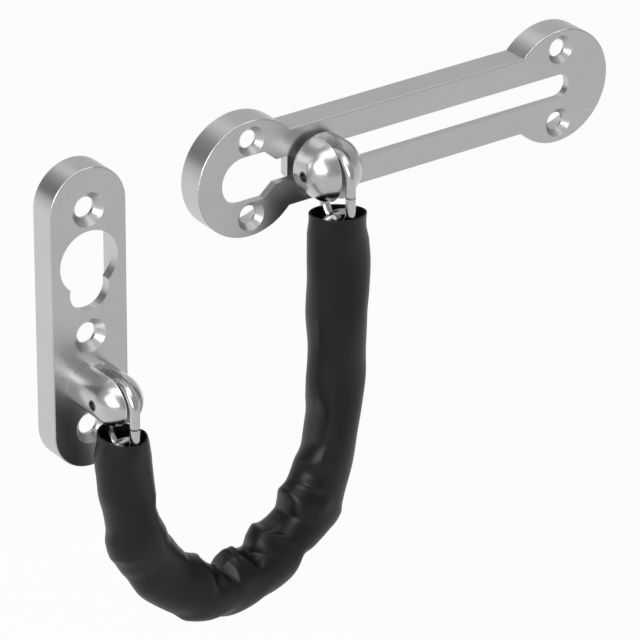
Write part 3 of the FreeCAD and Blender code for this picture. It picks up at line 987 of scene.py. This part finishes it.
# %% The room in the metal
FLOOR_IN_METAL = 0.74
FLOOR_BEHIND = 0.2
ROOM_IN_METAL = 0.42
BACK_IN_METAL = 0.62
CEILING_IN_METAL = 1.9
DOORWAY_IN_METAL = 0.16
BEAM_IN_METAL = 1.15
SILL_IN_METAL = 1.1
WINDOW_IN_METAL = 5.5


def room_levels(bench):
    """How bright the room looks in metal, in each direction: one patch after another over the grey room."""
    azimuth, elevation = sky_angles(bench)
    aside = azimuth.math("ABSOLUTE")
    above = elevation.step(48, 62) * aside.step(125, 100)
    doorway = between(azimuth, -158, -150, -128, -120) * between(elevation, 5, 9, 37, 43)
    beam = aside.step(160, 168) * between(elevation, 38, 43, 57, 64)
    sill = between(azimuth, -152, -146, -126, -118) * between(elevation, -1, 0, 4, 6)
    level = towards(azimuth * 0 + ROOM_IN_METAL, azimuth.step(70, 115), BACK_IN_METAL)
    level = towards(level, above, CEILING_IN_METAL)
    level = towards(level, doorway, DOORWAY_IN_METAL)
    level = towards(level, beam, BEAM_IN_METAL)
    level = towards(level, sill, SILL_IN_METAL)
    return towards(level, inside(azimuth, elevation, WINDOW), WINDOW_IN_METAL)


# %% The sky
WHITE = (1, 1, 1, 1)
BACKDROP = 1.0
FILL = 0.6


def make_world():
    """White to the camera, the room to reflections, and an even fill for everything else."""
    bench = Bench(bpy.context.scene.world or bpy.data.worlds.new("room"))
    bpy.context.scene.world = bench.owner
    camera_ray = bench.add("ShaderNodeLightPath", output="Is Camera Ray")
    glossy_ray = bench.add("ShaderNodeLightPath", output="Is Glossy Ray")
    fill = (1 - camera_ray) * (1 - glossy_ray) * FILL
    level = camera_ray * BACKDROP + glossy_ray * room_levels(bench) + fill
    light = bench.add("ShaderNodeBackground", None, {"Color": WHITE, "Strength": level})
    bench.finish(light, "ShaderNodeOutputWorld")


make_world()

# %% [markdown]
# ## The floor and the lamp
#
# The floor is pale and wide. Most of what the camera sees of it is plain white, and the rest is a matt
# surface that keeps the object's soft shadow. In metal the floor is a light grey that gets lighter
# behind the object. One wide lamp, on the side of the window, gives the shadows their direction.

# %% The floor
FLOOR_DROP = 0.16
FLOOR_HALF = 3.0
FLOOR_PALE = (0.85, 0.85, 0.85, 1)
FLOOR_SHOWN = 0.92


def floor_white():
    """Pale and matt, covered for the camera by a share of plain white, and for metal by a grey that
    rises from 100 mm in front of the wall to 200 mm behind it."""
    bench = Bench(bpy.data.materials.new("floor_white"))
    camera_ray = bench.add("ShaderNodeLightPath", output="Is Camera Ray")
    glossy_ray = bench.add("ShaderNodeLightPath", output="Is Glossy Ray")
    behind = bench.place()[1].step(-100, 200)
    strength = camera_ray * BACKDROP + glossy_ray * (behind * FLOOR_BEHIND + FLOOR_IN_METAL)
    pale = bench.add("ShaderNodeBsdfDiffuse", None, {"Color": FLOOR_PALE})
    shown = bench.add("ShaderNodeEmission", None, {"Color": WHITE, "Strength": strength})
    share = camera_ray * FLOOR_SHOWN + glossy_ray
    return bench.finish(bench.add("ShaderNodeMixShader", None, {0: share, 1: pale, 2: shown}))


def make_floor():
    """A wide square under the object."""
    height = cad_low.z - FLOOR_DROP
    corners = [(x * FLOOR_HALF, y * FLOOR_HALF, height) for x, y in ((-1, -1), (1, -1), (1, 1), (-1, 1))]
    mesh = bpy.data.meshes.new("floor")
    mesh.from_pydata(corners, [], [(0, 1, 2, 3)])
    mesh.materials.append(floor_white())
    floor = bpy.data.objects.new("floor", mesh)
    bpy.context.scene.collection.objects.link(floor)


make_floor()

# %% The lamp
LAMP_AZIMUTH, LAMP_ELEVATION = math.radians(-66), math.radians(32)
LAMP_DISTANCE = 1.2
LAMP_WIDTH = 0.9
LAMP_POWER = 8
LAMP_AIM = Vector((-0.03, 0, -0.04))


def make_lamp():
    """A wide square lamp that faces the object. Metal doesn't show it, because it shows the window."""
    away = direction(LAMP_AZIMUTH, LAMP_ELEVATION)
    data = bpy.data.lights.new("window", "AREA")
    data.shape, data.size = "SQUARE", LAMP_WIDTH
    data.energy = LAMP_POWER
    lamp = bpy.data.objects.new("window", data)
    bpy.context.scene.collection.objects.link(lamp)
    lamp.location = LAMP_AIM + away * LAMP_DISTANCE
    lamp.rotation_mode = "QUATERNION"
    lamp.rotation_quaternion = away.to_track_quat("Z", "Y")
    lamp.visible_glossy = False


make_lamp()
bpy.context.scene.view_settings.view_transform = "Standard"
print("studio is lit")

# %% [markdown]
# ## The last step
#
# The script ends by saying that the scene is built.

# %% Finish
print("scene is built")
